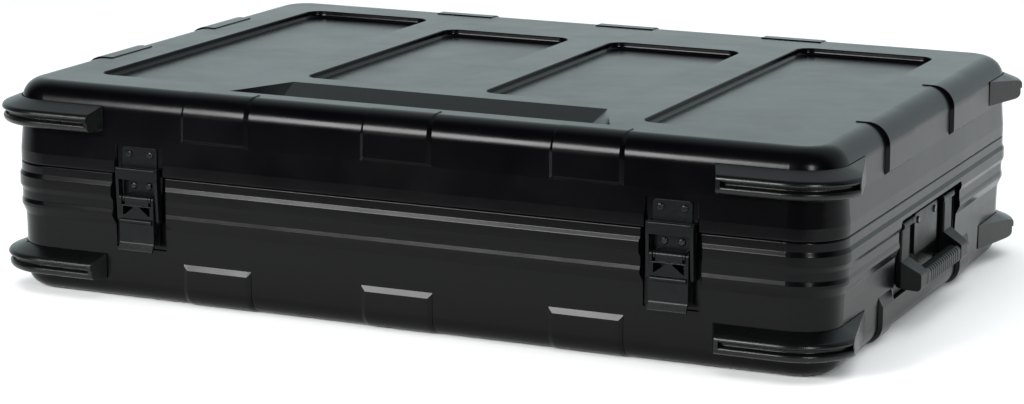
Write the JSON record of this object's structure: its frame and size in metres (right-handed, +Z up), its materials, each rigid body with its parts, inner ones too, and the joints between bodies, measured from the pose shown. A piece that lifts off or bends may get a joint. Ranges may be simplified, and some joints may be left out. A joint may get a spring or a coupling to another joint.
{
  "type": "hard case",
  "caption": "Low moulded equipment case with a hinged lid, draw latches on the front, fold-down handles on the ends, corner bumpers and foam lining.",
  "frame": {"origin": "on the floor under the middle of the case", "axes": "+X to the right seen from the latches, +Y from the latches to the hinges, +Z up"},
  "size_m": [0.894, 0.643, 0.212],
  "materials": {
    "shell": "fine moulded grain, satin",
    "bumper": "smooth satin",
    "steel": "black coated steel, satin",
    "fasteners": "black plated steel",
    "handle": "moulded, satin",
    "grip": "soft moulded",
    "gasket": "soft moulded",
    "foam": "open cell foam"
  },
  "bodies": {
    "base": {"base_foam_back": "foam", "base_foam_floor": "foam", "base_foam_front": "foam", "base_foam_left": "foam", "base_foam_right": "foam", "base_shell": "shell", "bottom_bumper_back_left": "bumper", "bottom_bumper_back_right": "bumper", "bottom_bumper_front_left": "bumper", "bottom_bumper_front_right": "bumper", "bottom_bumper_screws": "fasteners", "handle_pins_left": "fasteners", "handle_pins_right": "fasteners", "handle_plate_left": "handle", "handle_plate_right": "handle", "handle_rivets_left": "fasteners", "handle_rivets_right": "fasteners", "hinge_base_leaf_left": "steel", "hinge_base_leaf_right": "steel", "hinge_base_rivets_left": "fasteners", "hinge_base_rivets_right": "fasteners", "hinge_pin_left": "fasteners", "hinge_pin_right": "fasteners", "latch_plate_left": "steel", "latch_plate_right": "steel", "latch_plate_rivets_left": "fasteners", "latch_plate_rivets_right": "fasteners", "lever_pin_left": "fasteners", "lever_pin_right": "fasteners"},
    "lid": {"hinge_lid_leaf_left": "steel", "hinge_lid_leaf_right": "steel", "hinge_lid_rivets_left": "fasteners", "hinge_lid_rivets_right": "fasteners", "keeper_rivets_left": "fasteners", "keeper_rivets_right": "fasteners", "latch_keeper_left": "steel", "latch_keeper_right": "steel", "lid_foam_back": "foam", "lid_foam_front": "foam", "lid_foam_left": "foam", "lid_foam_pad": "foam", "lid_foam_right": "foam", "lid_shell": "shell", "rim_gasket": "gasket", "top_bumper_back_left": "bumper", "top_bumper_back_right": "bumper", "top_bumper_front_left": "bumper", "top_bumper_front_right": "bumper", "top_bumper_screws": "fasteners"},
    "latch_lever_left": {"claw_pin_left": "fasteners", "latch_lever_left": "steel"},
    "latch_claw_left": {"latch_claw_left": "steel"},
    "handle_bail_left": {"handle_bail_left": "handle", "handle_grip_left": "grip"},
    "latch_lever_right": {"claw_pin_right": "fasteners", "latch_lever_right": "steel"},
    "latch_claw_right": {"latch_claw_right": "steel"},
    "handle_bail_right": {"handle_bail_right": "handle", "handle_grip_right": "grip"}
  },
  "joints": [
    {"name": "lid_hinge", "type": "hinge", "parent": "base", "child": "lid", "pos_m": [0, 0.305, 0.12815], "axis": [-1, 0, 0], "range_deg": [0, 100]},
    {"name": "latch_lever_left", "type": "hinge", "parent": "base", "child": "latch_lever_left", "pos_m": [-0.277, -0.3045, 0.105], "axis": [-1, 0, 0], "range_deg": [0, 150]},
    {"name": "latch_claw_left", "type": "hinge", "parent": "latch_lever_left", "child": "latch_claw_left", "pos_m": [-0.277, -0.302, 0.085], "axis": [-1, 0, 0], "range_deg": [-150, 0]},
    {"name": "latch_lever_right", "type": "hinge", "parent": "base", "child": "latch_lever_right", "pos_m": [0.277, -0.3045, 0.105], "axis": [-1, 0, 0], "range_deg": [0, 150]},
    {"name": "latch_claw_right", "type": "hinge", "parent": "latch_lever_right", "child": "latch_claw_right", "pos_m": [0.277, -0.302, 0.085], "axis": [-1, 0, 0], "range_deg": [-150, 0]},
    {"name": "handle_left", "type": "hinge", "parent": "base", "child": "handle_bail_left", "pos_m": [-0.427, 0, 0.1015], "axis": [0, 1, 0], "range_deg": [0, 95]},
    {"name": "handle_right", "type": "hinge", "parent": "base", "child": "handle_bail_right", "pos_m": [0.427, 0, 0.1015], "axis": [0, -1, 0], "range_deg": [0, 95]}
  ],
  "couplings": [
    {"joint": "latch_claw_left", "follows": "latch_lever_left", "ratio": -1},
    {"joint": "latch_claw_right", "follows": "latch_lever_right", "ratio": -1}
  ]
}
